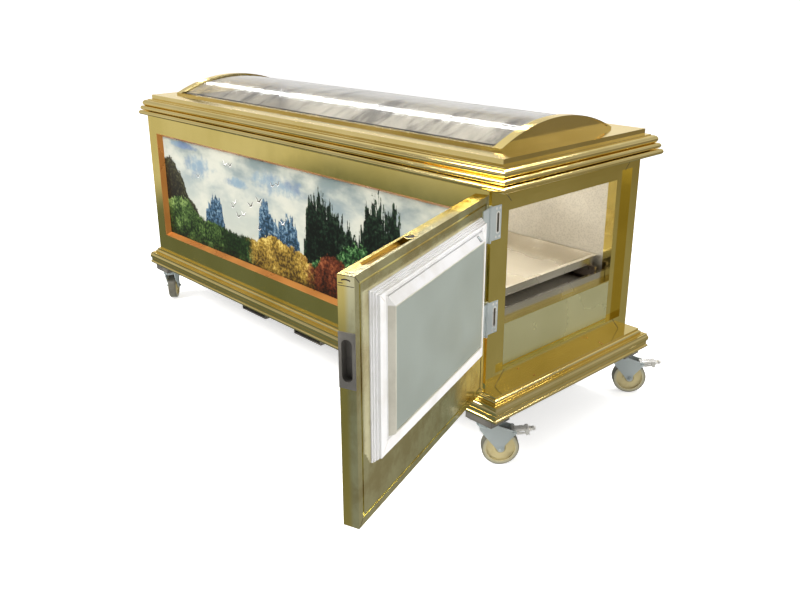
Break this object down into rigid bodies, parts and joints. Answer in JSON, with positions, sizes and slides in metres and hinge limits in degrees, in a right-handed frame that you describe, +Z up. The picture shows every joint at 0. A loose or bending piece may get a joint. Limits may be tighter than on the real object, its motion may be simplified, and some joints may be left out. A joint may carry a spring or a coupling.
{
  "type": "refrigerated funeral casket on casters",
  "caption": "Gold steel refrigerated casket with a clear arched top, picture side panels, an end door with a sliding tray, and braked casters.",
  "frame": {"origin": "on the floor under the middle of the cabinet", "axes": "+X along the casket to its door end, +Z up; the door hangs on the -Y side and the wider view is of the -Y long side"},
  "size_m": [2.5149, 1.7368, 1.1099],
  "materials": {
    "gold_moulding": "mirror-polished gold-coated stainless steel",
    "gold_panel": "polished gold-coated stainless sheet",
    "copper_trim": "polished copper-coloured steel",
    "green_sheet": "satin grey-green sheet",
    "stainless": "brushed stainless",
    "dark_steel": "dark grey paint",
    "zinc": "bright zinc plate",
    "pedal_metal": "cast and polished",
    "clear_acrylic": "clear moulded acrylic",
    "picture_print": "glossy printed landscape",
    "white_seal": "white moulded seal",
    "cream_plastic": "cream moulded plastic",
    "black_plastic": "moulded",
    "nylon_wheel": "cream nylon"
  },
  "bodies": {
    "cabinet": {"base_front": "gold_moulding", "base_back": "gold_moulding", "base_door_end": "gold_moulding", "base_foot_end": "gold_moulding", "underframe": "dark_steel", "front_wall": "gold_panel", "back_wall": "gold_panel", "foot_wall": "gold_panel", "door_frame": "gold_panel", "low_end_panel": "green_sheet", "liner": "stainless", "sill_channel": "stainless", "cornice_front": "gold_moulding", "cornice_back": "gold_moulding", "cornice_door_end": "gold_moulding", "cornice_foot_end": "gold_moulding", "top_deck": "gold_moulding", "pediment_door_end": "gold_moulding", "pediment_foot_end": "gold_moulding", "clear_cover": "clear_acrylic", "picture_front": "picture_print", "picture_back": "picture_print", "trim_front": "copper_trim", "trim_back": "copper_trim", "service_louvre": "gold_panel", "power_inlet": "black_plastic", "rail_left": "stainless", "rail_right": "stainless", "hinge_fixed_low": "zinc", "hinge_fixed_high": "zinc", "caster_mount_0": "zinc", "caster_mount_1": "zinc", "caster_mount_2": "zinc", "caster_mount_3": "zinc"},
    "door_leaf": {"door_shell": "gold_panel", "door_gasket": "white_seal", "door_plug": "cream_plastic", "plug_panel": "green_sheet", "flush_pull": "dark_steel", "hinge_door_low": "zinc", "hinge_door_high": "zinc"},
    "sliding_tray": {"tray": "stainless", "runner_left": "stainless", "runner_right": "stainless"},
    "caster_fork_0": {"fork_0": "zinc"},
    "caster_wheel_0": {"wheel_0": "nylon_wheel"},
    "brake_pedal_0": {"pedal_0": "pedal_metal"},
    "caster_fork_1": {"fork_1": "zinc"},
    "caster_wheel_1": {"wheel_1": "nylon_wheel"},
    "brake_pedal_1": {"pedal_1": "pedal_metal"},
    "caster_fork_2": {"fork_2": "zinc"},
    "caster_wheel_2": {"wheel_2": "nylon_wheel"},
    "brake_pedal_2": {"pedal_2": "pedal_metal"},
    "caster_fork_3": {"fork_3": "zinc"},
    "caster_wheel_3": {"wheel_3": "nylon_wheel"},
    "brake_pedal_3": {"pedal_3": "pedal_metal"}
  },
  "joints": [
    {"name": "door_hinge", "type": "hinge", "parent": "cabinet", "child": "door_leaf", "pos_m": [1.0602, -0.416, 0.68], "axis": [0, 0, -1], "range_deg": [-160, 20]},
    {"name": "tray_slide", "type": "slide", "parent": "cabinet", "child": "sliding_tray", "axis": [1, 0, 0], "range_m": [0, 1.2]},
    {"name": "caster_swivel_0", "type": "hinge", "parent": "cabinet", "child": "caster_fork_0", "pos_m": [1.055, -0.387, 0.15], "axis": [0, 0, 1], "continuous": true},
    {"name": "wheel_spin_0", "type": "hinge", "parent": "caster_fork_0", "child": "caster_wheel_0", "pos_m": [1.08511, -0.35356, 0.0625], "axis": [-0.7431, 0.6691, 0], "continuous": true},
    {"name": "brake_press_0", "type": "hinge", "parent": "caster_fork_0", "child": "brake_pedal_0", "pos_m": [1.11322, -0.32234, 0.1225], "axis": [-0.7431, 0.6691, 0], "range_deg": [0, 12]},
    {"name": "caster_swivel_1", "type": "hinge", "parent": "cabinet", "child": "caster_fork_1", "pos_m": [1.055, 0.387, 0.15], "axis": [0, 0, 1], "continuous": true},
    {"name": "wheel_spin_1", "type": "hinge", "parent": "caster_fork_1", "child": "caster_wheel_1", "pos_m": [1.08844, 0.41711, 0.0625], "axis": [-0.6691, 0.7431, 0], "continuous": true},
    {"name": "brake_press_1", "type": "hinge", "parent": "caster_fork_1", "child": "brake_pedal_1", "pos_m": [1.11966, 0.44522, 0.1225], "axis": [-0.6691, 0.7431, 0], "range_deg": [0, 12]},
    {"name": "caster_swivel_2", "type": "hinge", "parent": "cabinet", "child": "caster_fork_2", "pos_m": [-1.055, -0.387, 0.15], "axis": [0, 0, 1], "continuous": true},
    {"name": "wheel_spin_2", "type": "hinge", "parent": "caster_fork_2", "child": "caster_wheel_2", "pos_m": [-1.08947, -0.35807, 0.0625], "axis": [-0.6428, -0.766, 0], "continuous": true},
    {"name": "brake_press_2", "type": "hinge", "parent": "caster_fork_2", "child": "brake_pedal_2", "pos_m": [-1.12165, -0.33107, 0.1225], "axis": [-0.6428, -0.766, 0], "range_deg": [0, 12]},
    {"name": "caster_swivel_3", "type": "hinge", "parent": "cabinet", "child": "caster_fork_3", "pos_m": [-1.055, 0.387, 0.15], "axis": [0, 0, 1], "continuous": true},
    {"name": "wheel_spin_3", "type": "hinge", "parent": "caster_fork_3", "child": "caster_wheel_3", "pos_m": [-1.06589, 0.43066, 0.0625], "axis": [-0.9703, -0.2419, 0], "continuous": true},
    {"name": "brake_press_3", "type": "hinge", "parent": "caster_fork_3", "child": "brake_pedal_3", "pos_m": [-1.07605, 0.47142, 0.1225], "axis": [-0.9703, -0.2419, 0], "range_deg": [0, 12]}
  ]
}
